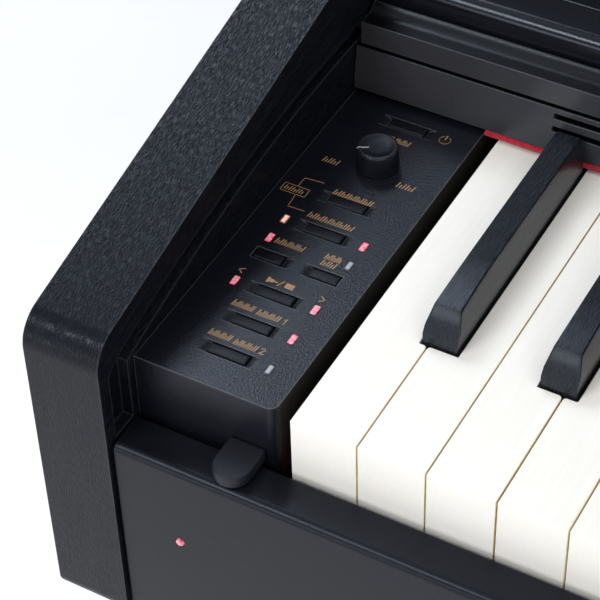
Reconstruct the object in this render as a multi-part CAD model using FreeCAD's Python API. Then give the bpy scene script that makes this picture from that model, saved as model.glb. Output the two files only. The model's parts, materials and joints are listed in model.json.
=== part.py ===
import FreeCAD, Part
import math
import os

# Digital piano with 88 keys on its own stand. Millimetres, +Z up, +Y to the back, low notes on the left.
# Row frame: origin on the floor under the middle of the case.
# Keyboard frame: X from the left side of the lowest white key, Y back from the white key fronts, Z up from
# the white key tops. Case and key parts are drawn in the keyboard frame, and keyboard() moves them.

V = FreeCAD.Vector
X_AXIS = V(1, 0, 0)
Y_AXIS = V(0, 1, 0)
Z_AXIS = V(0, 0, 1)

# Keys
WHITE_COUNT = 52
WHITE_PITCH = 23.5
KEY_GAP = 0.5
KEYS_WIDTH = WHITE_COUNT * WHITE_PITCH
KEY_THICK = 20.0
KEY_FRONT_HEIGHT = 29.0
KEY_FRONT_DEPTH = 16.0
KEY_DIP = 10.0
NOTCH_Y = 48.5
NOTCH_HALF = 6.95
NOTCH_CORNER = 1.2
BLACK_BODY_HALF = 6.2
BLACK_TOP_HALF = 4.4
BLACK_FRONT_Y = 49.3
BLACK_BACK_Y = 147.5
BLACK_SLOPE_LENGTH = 5.2
BLACK_STRIP_HEIGHT = 4.4
BLACK_SIDE_HEIGHT = 7.2
BLACK_NOSE_HEIGHT = 13.8
BLACK_HEIGHT = 15.2
BLACK_ROUNDING = 0.7
TAIL_HALF = 4.4
TAIL_Y = 206.0
KEY_BACK_Y = 235.0
FULCRUM_Y = 225.0
FULCRUM_Z = -12.0
FULCRUM_RADIUS = 2.5
RUNNING_CLEARANCE = 0.05
SEMITONE = 7 * WHITE_PITCH / 12
LOWEST_C_X = 2 * WHITE_PITCH
WHITE_NAMES = "ABCDEFG"
SEMITONES = {"C": 0, "D": 2, "E": 4, "F": 5, "G": 7, "A": 9, "B": 11}
BLACK_OFFSETS = {"A": 3.85, "C": -2.1, "D": 2.1, "F": -3.85, "G": 0.0}
SINGLE_KEYS = ("a0", "b0", "c1", "d1", "e1", "a_sharp0", "c_sharp1")

# Case
KEY_TOP_HEIGHT = 726.0
END_GAP = 57.0
ARM_THICK = 28.0
CASE_FRONT_Y = -19.0
CASE_DEPTH = 432.0
CASE_BACK_Y = CASE_FRONT_Y + CASE_DEPTH
CASE_HALF_WIDTH = KEYS_WIDTH / 2 + END_GAP + ARM_THICK
BED_BOTTOM_Z = -113.0
BED_THICK = 15.0
BED_TOP_Z = BED_BOTTOM_Z + BED_THICK
SLIP_FRONT_Y = -17.3
SLIP_BACK_Y = -2.2
SLIP_TOP_Z = -23.7
TOP_Z = 95.0
TOP_THICK = 18.0
TOP_FRONT_Y = 232.0
SLOPE = 0.229
ARM_CORNER_Z = 18.65
FIT_GAP = 0.3
INNER_X = (-END_GAP + FIT_GAP, KEYS_WIDTH + END_GAP - FIT_GAP)

# Key lid: a shell that slides round a far axis under the keyboard
LID_AXIS_Y = 137.6
LID_AXIS_Z = -471.4
LID_RADIUS = 497.0
LID_THICK = 5.0
LID_END_GAP = 2.0
LID_LATHS = 5
LID_FRONT_DEG = 4.02
LID_BACK_DEG = 24.3
TRACK_INNER_RADIUS = 493.6
TRACK_OUTER_RADIUS = 501.0
TRACK_DEPTH = 4.0
TRACK_BACK_Y = 352.0
ROLLER_RADIUS = 3.1
ROLLER_DEGREES = (2.6, 22.8)

# Left end block with the controls
BLOCK_X = (-END_GAP + FIT_GAP, -5.0)
BLOCK_BACK_Y = 156.0
BLOCK_TOP_Z = 1.5
BLOCK_BOTTOM_Z = -60.0
BLOCK_WALL = 2.5
BLOCK_CORNER = 3.5
BUTTON_DEPTH = 4.2
BUTTON_GAP = 0.3
BUTTON_FRONT_GAP = 0.8
BUTTON_FLANGE = 1.6
SCOOP_LENGTH = 3.4
SCOOP_DEPTH = 1.3
WIDE_BUTTON = 14.2
SHORT_BUTTON = 10.5
LEFT_SCOOP = (-1,)
RIGHT_SCOOP = (1,)
BOTH_SCOOPS = (-1, 1)
MIDDLE_X = -30.5
BUTTONS = {
    "tone_two_button": (MIDDLE_X, 15.2, WIDE_BUTTON, BOTH_SCOOPS),
    "tone_one_button": (MIDDLE_X, 30.0, WIDE_BUTTON, BOTH_SCOOPS),
    "play_button": (MIDDLE_X, 45.0, WIDE_BUTTON, BOTH_SCOOPS),
    "recorder_button": (-20.1, 60.2, SHORT_BUTTON, LEFT_SCOOP),
    "reverb_button": (-41.2, 60.2, SHORT_BUTTON, RIGHT_SCOOP),
    "metronome_button": (MIDDLE_X, 78.5, WIDE_BUTTON, BOTH_SCOOPS),
    "function_button": (MIDDLE_X, 95.0, WIDE_BUTTON, BOTH_SCOOPS),
    "power_button": (MIDDLE_X, 140.5, WIDE_BUTTON, BOTH_SCOOPS),
}
LIGHT_LEFT_X = -45.4
LIGHT_RIGHT_X = -15.35
LIGHTS = (
    (LIGHT_LEFT_X, 78.5), (LIGHT_RIGHT_X, 78.5), (LIGHT_LEFT_X, 68.2), (LIGHT_RIGHT_X, 68.2),
    (LIGHT_LEFT_X, 44.9), (LIGHT_RIGHT_X, 44.9), (LIGHT_RIGHT_X, 29.9), (LIGHT_RIGHT_X, 14.9),
)
LIGHT_SIZE = (1.8, 3.6)
KNOB_CENTRE = (-30.4, 117.4)
KNOB_RADIUS = 7.5
KNOB_Z = (2.0, 10.5)
KNOB_STEM_RADIUS = 3.0
BOARD_Z = (-12.0, -10.4)
POWER_LIGHT = (-33.3, -59.6)
POWER_LIGHT_RADIUS = 1.5

# Sound slots in the console panel
SLOT_HEIGHT = 2.0
SLOT_CENTRES_Z = (12.8, 17.8)
SLOT_START_X = 20.0
SLOT_LENGTH = 400.0

# Speakers, facing down through the key bed
SPEAKER_X = (150.0, KEYS_WIDTH - 150.0)
SPEAKER_Y = 305.0
SPEAKER_HOLE = 46.0

# Headphone box with two jack sockets
JACK_RADIUS = 3.3
JACK_DEPTH = 15.0
POWER_SOCKET_RADIUS = 2.85
JACK_X = (-22.0, 8.0)
JACK_BOX_X = (-40.0, 26.0)
JACK_BOX_Y = (5.0, 62.0)
JACK_BOX_HEIGHT = 27.0
JACK_Z = BED_BOTTOM_Z - 14.0

# Jack plate at the back of the case, and the window behind it
PLATE_X = (202.0, 338.0)
PLATE_Z = (-88.0, -42.0)
PLATE_THICK = 2.0
PLATE_MARGIN = 8.0
SOCKET_Z = -65.0
SOCKET_LENGTH = 16.0
SOCKET_DEPTH = 12.0
SOCKET_WALL = 3.0
POWER_SOCKET_X = 222.0
PORT_X = (248.0, 272.0)
PORT_SIZE = 10.0
LINE_JACK_X = (296.0, 316.0)

# Sheet frame under the keys
SHEET = 1.6
CHASSIS_X = (-2.0, KEYS_WIDTH + 2.0)
CHASSIS_Y = (6.0, 240.0)
STOP_SHELF_Y = (8.0, 26.0)
STOP_SHELF_Z = -43.0
BOARD_SHELF_Y = (100.0, 140.0)
BOARD_SHELF_Z = -41.0
FIN_SHELF_Y = (214.0, 238.0)
FIN_SHELF_Z = -34.0
FIN_THICK = 2.6
PAD_TOP_Z = -30.0

# Music rest
REST_HALF_WIDTH = 310.0
REST_HEIGHT = 150.0
REST_THICK = 9.0
REST_LEAN = 20.0
REST_PIN_Y = 262.0
REST_PIN_RISE = 9.0
REST_PIN_RADIUS = 3.0
HINGE_X = (-210.0, 210.0)

# Stand, drawn in the row frame
SIDE_OUTER = CASE_HALF_WIDTH - 2.0
SIDE_THICK = 24.0
SIDE_INNER = SIDE_OUTER - SIDE_THICK
SIDE_Y = (-45.0, 205.0)
FOOT_HALF_WIDTH = 19.0
FOOT_Y = (-192.0, 213.0)
FOOT_HEIGHT = 62.0
GLIDE_RADIUS = 14.0
GLIDE_HEIGHT = 8.0
STAND_BACK_Y = (183.0, 198.0)
STAND_BACK_Z = (230.0, 590.0)
BEAM_Y = (103.0, 125.0)
BEAM_Z = (66.0, 156.0)
SCREW_RADIUS = 3.0
SCREW_HEAD_RADIUS = 6.0
SCREW_LENGTH = 50.0

# Pedals
PEDAL_PITCH = 70.0
PEDAL_PIVOT_Y = 78.0
PEDAL_PIVOT_Z = 66.0
PEDAL_ROD_RADIUS = 4.0
PEDAL_HUB_RADIUS = 9.0
PEDAL_TIP_Y = -60.0
COVER_X = (-160.0, 160.0)
COVER_Y = (20.0, 102.7)
COVER_Z = (40.0, 132.0)
COVER_WALL = 4.0
ADJUSTER_RADIUS = 5.0


# ---- Helpers ----

def box(x, y, z):
    return Part.makeBox(x[1] - x[0], y[1] - y[0], z[1] - z[0], V(x[0], y[0], z[0]))


def around(middle, size):
    return (middle - size / 2, middle + size / 2)


def rod(axis, start, length, radius):
    return Part.makeCylinder(radius, length, V(*start), axis)


def corner_arc(before, corner, after, radius):
    """Arc of the given radius that rounds a corner: its start, middle and end."""
    back = (before - corner).normalize()
    ahead = (after - corner).normalize()
    half_angle = back.getAngle(ahead) / 2
    reach = radius / math.tan(half_angle)
    middle = (back + ahead).normalize()
    centre = corner + middle * (radius / math.sin(half_angle))
    return corner + back * reach, centre - middle * radius, corner + ahead * reach


def outline(points, lift):
    """Closed wire through (a, b) points. A third number rounds that corner to its radius."""
    corners = [lift(point[0], point[1]) for point in points]
    joints = []
    for index, point in enumerate(points):
        corner = corners[index]
        if len(point) == 2:
            joints.append((corner, None, corner))
        else:
            following = corners[(index + 1) % len(points)]
            joints.append(corner_arc(corners[index - 1], corner, following, point[2]))
    edges = []
    for index, (start, middle, end) in enumerate(joints):
        if middle is not None:
            edges.append(Part.Arc(start, middle, end).toShape())
        next_start = joints[(index + 1) % len(joints)][0]
        edges.append(Part.LineSegment(end, next_start).toShape())
    return Part.Wire(edges)


def prism_x(points, x):
    """Solid with a (y, z) outline."""
    face = Part.Face(outline(points, lambda y, z: V(x[0], y, z)))
    return face.extrude(V(x[1] - x[0], 0, 0))


def prism_y(points, y):
    """Solid with an (x, z) outline."""
    face = Part.Face(outline(points, lambda a, z: V(a, y[0], z)))
    return face.extrude(V(0, y[1] - y[0], 0))


def prism_z(points, z):
    """Solid with an (x, y) outline."""
    face = Part.Face(outline(points, lambda a, b: V(a, b, z[0])))
    return face.extrude(V(0, 0, z[1] - z[0]))


def turned(points, centre):
    """Solid of revolution about a vertical axis, from a (radius, z) outline."""
    face = Part.Face(outline(points, lambda r, z: V(centre[0] + r, centre[1], z)))
    return face.revolve(V(centre[0], centre[1], 0), Z_AXIS, 360)


def join(shapes):
    return shapes[0].fuse(shapes[1:]).removeSplitter()


def cut(shape, tools):
    return shape.cut(Part.makeCompound(tools))


def keyboard(shape):
    """Moves a shape from the keyboard frame to the row frame."""
    moved = shape.copy()
    moved.translate(V(-KEYS_WIDTH / 2, -CASE_FRONT_Y - CASE_DEPTH / 2, KEY_TOP_HEIGHT))
    return moved


def opposite(shape):
    """The same shape for the other end of the keyboard, in the keyboard frame."""
    return shape.mirror(V(KEYS_WIDTH / 2, 0, 0), X_AXIS)


def save(name, shapes):
    """One STEP file for a node. All its pieces are separate solids."""
    solids = []
    for shape in shapes:
        solids.extend(shape.Solids)
    for solid in solids:
        if not solid.isValid() or solid.Volume <= 0:
            raise ValueError("bad solid in " + name)
    result = solids[0] if len(solids) == 1 else Part.makeCompound(solids)
    result.exportStep("parts/" + name + ".step")


# ---- Keys ----

def note_name(white):
    return WHITE_NAMES[white % 7], (white + 5) // 7


def black_follows(white):
    return note_name(white)[0] in BLACK_OFFSETS and white < WHITE_COUNT - 1


def black_centre(white):
    """Middle of the black key that follows a white key."""
    return (white + 1) * WHITE_PITCH + BLACK_OFFSETS[note_name(white)[0]]


def tail_centre(semitone_step, octave):
    step = 12 * (octave - 1) + semitone_step + 0.5
    return LOWEST_C_X + SEMITONE * step


def fulcrum_hole(centre_x):
    start = (centre_x - WHITE_PITCH, FULCRUM_Y, FULCRUM_Z)
    return rod(X_AXIS, start, 2 * WHITE_PITCH, FULCRUM_RADIUS + RUNNING_CLEARANCE)


def white_key(white):
    """White key: wide head, shank between its black neighbours, narrow tail on the fulcrum rod."""
    letter, octave = note_name(white)
    left = white * WHITE_PITCH + KEY_GAP / 2
    right = (white + 1) * WHITE_PITCH - KEY_GAP / 2
    tail = tail_centre(SEMITONES[letter], octave)
    points = [(left, 0), (right, 0)]
    if black_follows(white):
        shank_right = black_centre(white) - NOTCH_HALF
        points += [(right, NOTCH_Y, NOTCH_CORNER), (shank_right, NOTCH_Y)]
    else:
        shank_right = right
    points += [(shank_right, TAIL_Y), (tail + TAIL_HALF, TAIL_Y), (tail + TAIL_HALF, KEY_BACK_Y)]
    points += [(tail - TAIL_HALF, KEY_BACK_Y), (tail - TAIL_HALF, TAIL_Y)]
    if white > 0 and black_follows(white - 1):
        shank_left = black_centre(white - 1) + NOTCH_HALF
        points += [(shank_left, TAIL_Y), (shank_left, NOTCH_Y), (left, NOTCH_Y, NOTCH_CORNER)]
    else:
        points += [(left, TAIL_Y)]
    body = prism_z(points, (-KEY_THICK, 0))
    front = box((left, right), (0, KEY_FRONT_DEPTH), (-KEY_FRONT_HEIGHT, -KEY_THICK / 2))
    return cut(join([body, front]), [fulcrum_hole(tail)])


def black_cap():
    """Raised part of a black key, centred on x = 0: steep front, leaning flanks, top that dips in front."""
    nose_y = BLACK_FRONT_Y + BLACK_SLOPE_LENGTH
    foot = prism_x([
        (BLACK_FRONT_Y, 0), (BLACK_BACK_Y, 0), (BLACK_BACK_Y, BLACK_HEIGHT),
        (nose_y + 15, BLACK_HEIGHT, 280), (nose_y, BLACK_NOSE_HEIGHT), (BLACK_FRONT_Y, BLACK_STRIP_HEIGHT),
    ], (-BLACK_BODY_HALF, BLACK_BODY_HALF))
    section = prism_y([
        (-BLACK_BODY_HALF, 0), (BLACK_BODY_HALF, 0), (BLACK_BODY_HALF, BLACK_SIDE_HEIGHT),
        (BLACK_TOP_HALF, BLACK_HEIGHT), (-BLACK_TOP_HALF, BLACK_HEIGHT),
        (-BLACK_BODY_HALF, BLACK_SIDE_HEIGHT),
    ], (BLACK_FRONT_Y, BLACK_BACK_Y))
    cap = foot.common(section)
    rounded = []
    for edge in cap.Edges:
        reach = edge.BoundBox
        leaves_flank = reach.ZMax > BLACK_SIDE_HEIGHT + 1.0
        if leaves_flank and reach.YMin < BLACK_BACK_Y - 1.0:
            rounded.append(edge)
    return cap.makeFillet(BLACK_ROUNDING, rounded)


def black_key(white, cap):
    letter, octave = note_name(white)
    centre = black_centre(white)
    tail = tail_centre(SEMITONES[letter] + 1, octave)
    body = prism_z([
        (centre - BLACK_BODY_HALF, BLACK_FRONT_Y), (centre + BLACK_BODY_HALF, BLACK_FRONT_Y),
        (centre + BLACK_BODY_HALF, TAIL_Y), (tail + TAIL_HALF, TAIL_Y), (tail + TAIL_HALF, KEY_BACK_Y),
        (tail - TAIL_HALF, KEY_BACK_Y), (tail - TAIL_HALF, TAIL_Y), (centre - BLACK_BODY_HALF, TAIL_Y),
    ], (-KEY_THICK, 0))
    moved_cap = cap.copy()
    moved_cap.translate(V(centre, 0, 0))
    return cut(body.fuse(moved_cap).removeSplitter(), [fulcrum_hole(tail)])


def save_keys():
    cap = black_cap()
    rest_white = []
    rest_black = []
    for white in range(WHITE_COUNT):
        letter, octave = note_name(white)
        name = letter.lower() + str(octave)
        key = keyboard(white_key(white))
        if name in SINGLE_KEYS:
            save("white_key_" + name, [key])
        else:
            rest_white.append(key)
        if black_follows(white):
            sharp_name = letter.lower() + "_sharp" + str(octave)
            sharp_key = keyboard(black_key(white, cap))
            if sharp_name in SINGLE_KEYS:
                save("black_key_" + sharp_name, [sharp_key])
            else:
                rest_black.append(sharp_key)
    save("remaining_white_keys", rest_white)
    save("remaining_black_keys", rest_black)


def key_chassis():
    """Frame of flat strips under the keys: stop shelf, board shelf, and a rear shelf of fins for the rod."""
    floor_top = BED_TOP_Z + SHEET
    board_middle = sum(BOARD_SHELF_Y) / 2
    shelves = [
        (CHASSIS_Y, floor_top),
        (STOP_SHELF_Y, STOP_SHELF_Z),
        (BOARD_SHELF_Y, BOARD_SHELF_Z),
        (FIN_SHELF_Y, FIN_SHELF_Z),
    ]
    legs = [
        ((STOP_SHELF_Y[0], STOP_SHELF_Y[0] + SHEET), STOP_SHELF_Z),
        (around(board_middle, SHEET), BOARD_SHELF_Z),
        ((FIN_SHELF_Y[1] - SHEET, FIN_SHELF_Y[1]), FIN_SHELF_Z),
    ]
    strips = [box(CHASSIS_X, y, (top - SHEET, top)) for y, top in shelves]
    strips += [box(CHASSIS_X, y, (floor_top, top - SHEET)) for y, top in legs]
    fins_x = [LOWEST_C_X + SEMITONE * step for step in range(-2, 85, 4)]
    hole = rod(X_AXIS, (CHASSIS_X[0] - 5, FULCRUM_Y, FULCRUM_Z), KEYS_WIDTH + 20, FULCRUM_RADIUS)
    for fin_x in [-0.4] + fins_x + [KEYS_WIDTH]:
        fin = box(around(fin_x, FIN_THICK), (FULCRUM_Y - 9, FIN_SHELF_Y[1]), (FIN_SHELF_Z, FULCRUM_Z + 5))
        strips.append(cut(fin, [hole]))
    return strips


def key_stop_felt():
    """Strip on the front shelf that the key fronts come down on."""
    low, high = STOP_SHELF_Y
    return box((0, KEYS_WIDTH), (low + 1, high - 1), (STOP_SHELF_Z, -KEY_FRONT_HEIGHT - KEY_DIP - 0.5))


def key_contact_board():
    """Board under the keys with one rubber switch pad for each semitone."""
    low, high = BOARD_SHELF_Y
    board_top = BOARD_SHELF_Z + SHEET
    pieces = [box((1, KEYS_WIDTH - 1), (low + 2, high - 2), (BOARD_SHELF_Z, board_top))]
    for step in range(-3, 85):
        pad_x = LOWEST_C_X + SEMITONE * (step + 0.5)
        pieces.append(box(around(pad_x, 7), around((low + high) / 2, 16), (board_top, PAD_TOP_Z)))
    return join(pieces)


# ---- Case ----

def arm_board():
    """Left cheek with a sloping top edge and a lid track cut in its inner face."""
    slope_end_y = CASE_FRONT_Y + (TOP_Z - TOP_THICK - ARM_CORNER_Z) / SLOPE
    board = prism_x([
        (CASE_FRONT_Y, BED_BOTTOM_Z, 8), (CASE_BACK_Y, BED_BOTTOM_Z), (CASE_BACK_Y, TOP_Z - TOP_THICK),
        (slope_end_y, TOP_Z - TOP_THICK), (CASE_FRONT_Y, ARM_CORNER_Z, 12),
    ], (-END_GAP - ARM_THICK, -END_GAP))
    return cut(board, [lid_track()])


def lid_track():
    """Curved groove for the lid rollers, with a slot that turns down at the front."""
    start = (-END_GAP - TRACK_DEPTH, LID_AXIS_Y, LID_AXIS_Z)
    ring = rod(X_AXIS, start, 2 * TRACK_DEPTH, TRACK_OUTER_RADIUS)
    ring = ring.cut(rod(X_AXIS, start, 2 * TRACK_DEPTH, TRACK_INNER_RADIUS))
    reach = (start[0], start[0] + 2 * TRACK_DEPTH)
    ring = ring.common(box(reach, (-8, TRACK_BACK_Y), (-60, 60)))
    slot = prism_x([
        (-13.5, SLIP_TOP_Z), (-3.0, SLIP_TOP_Z), (-3.0, 2.0), (-7.0, 8.5), (-13.5, 4.5, 3),
    ], reach)
    return ring.fuse(slot)


def key_slip():
    """Front board under the keys, with a hole for the power light."""
    board = prism_x([
        (SLIP_FRONT_Y, BED_BOTTOM_Z), (SLIP_BACK_Y, BED_BOTTOM_Z),
        (SLIP_BACK_Y, SLIP_TOP_Z, 1.0), (SLIP_FRONT_Y, SLIP_TOP_Z, 3.0),
    ], (INNER_X[0] + 0.4, INNER_X[1] - 0.4))
    start = (POWER_LIGHT[0], SLIP_FRONT_Y - 5, POWER_LIGHT[1])
    return cut(board, [rod(Y_AXIS, start, 40, POWER_LIGHT_RADIUS)])


def power_indicator():
    """Round light in the key slip, with a rounded rim that stands just proud."""
    start = (POWER_LIGHT[0], SLIP_FRONT_Y - 0.4, POWER_LIGHT[1])
    light = rod(Y_AXIS, start, 14, POWER_LIGHT_RADIUS)
    rims = [edge for edge in light.Edges if edge.BoundBox.YMax < SLIP_FRONT_Y]
    return light.makeFillet(0.35, rims)


def key_bed():
    bed = box((-END_GAP, KEYS_WIDTH + END_GAP), (SLIP_BACK_Y, CASE_BACK_Y - 17.3), (BED_BOTTOM_Z, BED_TOP_Z))
    holes = [rod(Z_AXIS, (x, SPEAKER_Y, BED_BOTTOM_Z - 5), 30, SPEAKER_HOLE) for x in SPEAKER_X]
    return cut(bed, holes)


def top_board():
    reach = ARM_THICK + END_GAP
    return prism_x([
        (TOP_FRONT_Y, TOP_Z - TOP_THICK, 3), (CASE_BACK_Y, TOP_Z - TOP_THICK), (CASE_BACK_Y, TOP_Z, 2),
        (TOP_FRONT_Y, TOP_Z, 5),
    ], (-reach, KEYS_WIDTH + reach))


def upper_back_panel():
    """Back of the case, with a window for the jack plate."""
    top = TOP_Z - TOP_THICK - FIT_GAP
    panel = box(INNER_X, (CASE_BACK_Y - 17, CASE_BACK_Y - PLATE_THICK), (BED_BOTTOM_Z, top))
    window = box(
        (PLATE_X[0] + PLATE_MARGIN, PLATE_X[1] - PLATE_MARGIN), (CASE_BACK_Y - 30, CASE_BACK_Y + 5),
        (PLATE_Z[0] + PLATE_MARGIN, PLATE_Z[1] - PLATE_MARGIN))
    return cut(panel, [window])


def rear_jack_plate():
    """Plate over the window, with sockets behind it: power inlet, two square ports and two line jacks."""
    inner_y = CASE_BACK_Y - SOCKET_LENGTH
    floor_y = CASE_BACK_Y - SOCKET_DEPTH
    walls = [box(PLATE_X, (CASE_BACK_Y - PLATE_THICK, CASE_BACK_Y), PLATE_Z)]
    holes = []
    for x, radius in [(POWER_SOCKET_X, POWER_SOCKET_RADIUS)] + [(x, JACK_RADIUS) for x in LINE_JACK_X]:
        walls.append(rod(Y_AXIS, (x, inner_y, SOCKET_Z), SOCKET_LENGTH, radius + SOCKET_WALL))
        holes.append(rod(Y_AXIS, (x, floor_y, SOCKET_Z), SOCKET_LENGTH, radius))
    for x in PORT_X:
        outer = PORT_SIZE + 2 * SOCKET_WALL
        walls.append(box(around(x, outer), (inner_y, CASE_BACK_Y), around(SOCKET_Z, outer - 2)))
        holes.append(box(around(x, PORT_SIZE), (floor_y, CASE_BACK_Y + 5), around(SOCKET_Z, PORT_SIZE)))
    return cut(join(walls), holes)


def top_front_rail():
    """Stepped rail over the lid opening: rounded lip, flat ledge, upright face and sloping top."""
    return prism_x([
        (163.6, 29.5), (163.6, 44.0, 4.4), (180.1, 44.0), (180.1, 61.5, 2.0), (236.0, 73.0),
        (236.0, 60.0), (192.0, 50.5), (192.0, 33.5), (188.0, 29.5),
    ], INNER_X)


def console_panel():
    """Upright panel behind the keys, leaning back above the felt, with two long sound slots at each end."""
    panel = prism_x([
        (149.5, 3.3), (149.5, 8.0), (151.6, 20.9, 0.4), (154.6, 20.9), (152.5, 8.0), (152.5, 6.0),
        (158.0, 6.0), (158.0, 3.3),
    ], INNER_X)
    slots = []
    for start in (SLOT_START_X, KEYS_WIDTH - SLOT_START_X - SLOT_LENGTH):
        for z in SLOT_CENTRES_Z:
            slots.append(box((start, start + SLOT_LENGTH), (140, 165), around(z, SLOT_HEIGHT)))
    return cut(panel, slots)


def key_felt():
    return box((-4.5, KEYS_WIDTH + 4.5), (148.7, 153), (1.7, 3.2))


def lid_rest_tab():
    """Soft tongue on the end block that the closed lid rests on."""
    return prism_z([(-22, 0), (-22, -16.3, 6.4), (-9, -16.3, 6.4), (-9, 0)], (-23.2, -18.0))


# ---- Key lid ----

def lid_point(degrees, radius):
    """Point (y, z) on the lid's arc: degrees behind the axis's vertical."""
    angle = math.radians(degrees)
    return LID_AXIS_Y + radius * math.sin(angle), LID_AXIS_Z + radius * math.cos(angle)


def lid_x():
    return (-END_GAP + LID_END_GAP, KEYS_WIDTH + END_GAP - LID_END_GAP)


def lid_lath(start, end):
    """Curved shell between two radii and two angles."""
    x = lid_x()
    inner = LID_RADIUS - LID_THICK / 2
    outer = LID_RADIUS + LID_THICK / 2
    middle = (start + end) / 2

    def arc(radius):
        points = [V(x[0], *lid_point(degrees, radius)) for degrees in (start, middle, end)]
        return Part.Arc(*points).toShape(), points[0], points[-1]

    upper, upper_front, upper_back = arc(outer)
    lower, lower_front, lower_back = arc(inner)
    back = Part.LineSegment(upper_back, lower_back).toShape()
    front = Part.LineSegment(lower_front, upper_front).toShape()
    face = Part.Face(Part.Wire(Part.__sortEdges__([upper, back, lower, front])))
    return face.extrude(V(x[1] - x[0], 0, 0))


def lid_panel():
    """Curved lid built from equal laths that lie edge to edge."""
    step = (LID_BACK_DEG - LID_FRONT_DEG) / LID_LATHS
    starts = [LID_FRONT_DEG + index * step for index in range(LID_LATHS)]
    return [lid_lath(start, start + step) for start in starts]


def lid_nose():
    """Front rail of the lid: flat nose strip, finger hollow and a sharp ridge."""
    back_inner = lid_point(LID_FRONT_DEG - 0.02, LID_RADIUS - LID_THICK / 2)
    back_outer = lid_point(LID_FRONT_DEG - 0.02, LID_RADIUS + LID_THICK / 2)
    return prism_x([
        (152.0, 22.2), (152.0, 31.4, 0.3), (159.4, 31.4, 7.5), (162.1, 34.1), (162.5, 34.1),
        (163.0, 28.4), back_outer, back_inner, (156.0, 22.2),
    ], lid_x())


def lid_rollers():
    """Round guide pins at both ends of the lid, which run in the arm tracks."""
    pins = []
    outer_x = -END_GAP - TRACK_DEPTH + 0.5
    for degrees in ROLLER_DEGREES:
        y, z = lid_point(degrees, LID_RADIUS)
        pins.append(rod(X_AXIS, (outer_x, y, z), lid_x()[0] - outer_x, ROLLER_RADIUS))
    return pins + [opposite(pin) for pin in pins]


# ---- Control panel ----

def end_block():
    """Moulded shell at the left end of the keys: top, front and side walls."""
    outer = prism_z([
        (BLOCK_X[0], 0), (BLOCK_X[1], 0, BLOCK_CORNER), (BLOCK_X[1], BLOCK_BACK_Y),
        (BLOCK_X[0], BLOCK_BACK_Y),
    ], (BLOCK_BOTTOM_Z, BLOCK_TOP_Z))
    inner = box(
        (BLOCK_X[0] + BLOCK_WALL, BLOCK_X[1] - BLOCK_WALL), (BLOCK_WALL, BLOCK_BACK_Y - BLOCK_WALL),
        (BLOCK_BOTTOM_Z - 5, BLOCK_TOP_Z - BLOCK_WALL))
    return outer.cut(inner)


def control_block():
    """Left end block with windows for the buttons, the lights and the knob stem."""
    through = (BLOCK_TOP_Z - BLOCK_WALL - 5, BLOCK_TOP_Z + 5)
    windows = []
    for x, y, width, scoops in BUTTONS.values():
        window_y = (y - BUTTON_DEPTH / 2 - BUTTON_FRONT_GAP, y + BUTTON_DEPTH / 2 + BUTTON_GAP)
        windows.append(box(around(x, width + 2 * BUTTON_GAP), window_y, through))
        for side in scoops:
            windows.append(finger_scoop(x + side * width / 2, side, window_y))
    for x, y in LIGHTS:
        windows.append(box(around(x, LIGHT_SIZE[0]), around(y, LIGHT_SIZE[1]), through))
    windows.append(rod(Z_AXIS, (*KNOB_CENTRE, through[0]), 15, KNOB_STEM_RADIUS + 1))
    return cut(end_block(), windows)


def finger_scoop(end_x, side, y):
    """Ramp cut into the panel that runs down to one end of a button."""
    outer_x = end_x + side * SCOOP_LENGTH
    floor_z = BLOCK_TOP_Z - SCOOP_DEPTH
    return prism_y([
        (outer_x, BLOCK_TOP_Z), (end_x, floor_z), (end_x, BLOCK_TOP_Z + 1), (outer_x, BLOCK_TOP_Z + 1),
    ], y)


def button(x, y, width):
    """Bar button level with the panel, with a flange that holds it in the block and a short stem."""
    wall_bottom = BLOCK_TOP_Z - BLOCK_WALL
    bar = box(around(x, width), around(y, BUTTON_DEPTH), (wall_bottom - 1, BLOCK_TOP_Z))
    flange = box(
        around(x, width + 2 * BUTTON_FLANGE), around(y, BUTTON_DEPTH + 2 * BUTTON_FLANGE),
        (wall_bottom - 2, wall_bottom - BUTTON_GAP))
    stem = box(around(x, 4), around(y, 3), (wall_bottom - 4.5, wall_bottom - 1))
    return join([bar, flange, stem])


def volume_knob():
    """Knob cap with a rounded rim and a stem that goes down into the potentiometer."""
    return turned([
        (0, -8.5), (KNOB_STEM_RADIUS, -8.5), (KNOB_STEM_RADIUS, KNOB_Z[0]), (KNOB_RADIUS, KNOB_Z[0], 0.3),
        (KNOB_RADIUS - 0.2, KNOB_Z[1], 0.7), (0, KNOB_Z[1]),
    ], KNOB_CENTRE)


def panel_circuit_board():
    """Board under the panel with a switch for each button and the volume potentiometer."""
    board = box((BLOCK_X[0] + 3.2, BLOCK_X[1] - 3.2), (4, 146), BOARD_Z)
    switches = [box(around(x, 6), around(y, 6), (BOARD_Z[1], -6.7)) for x, y, *_ in BUTTONS.values()]
    potentiometer = box(around(KNOB_CENTRE[0], 13), around(KNOB_CENTRE[1], 13), (BOARD_Z[1], -4.2))
    bush = rod(Z_AXIS, (*KNOB_CENTRE, -4.2), 2.6, KNOB_STEM_RADIUS + 1.4)
    hole = rod(Z_AXIS, (*KNOB_CENTRE, -9.0), 20, KNOB_STEM_RADIUS + RUNNING_CLEARANCE)
    return cut(join([board, potentiometer, bush] + switches), [hole])


def panel_indicators():
    """Light pipes that stand a little proud of the panel."""
    height = (BOARD_Z[1], BLOCK_TOP_Z + 0.1)
    return [box(around(x, LIGHT_SIZE[0]), around(y, LIGHT_SIZE[1]), height) for x, y in LIGHTS]


# ---- Sound and sockets ----

def speaker_frame(x):
    top = BED_TOP_Z
    return turned([
        (46, top), (55, top), (55, top + 3), (49, top + 3), (34, top + 24), (34, top + 42, 2), (0, top + 42),
        (0, top + 27), (30, top + 24), (43, top + 5),
    ], (x, SPEAKER_Y))


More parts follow.
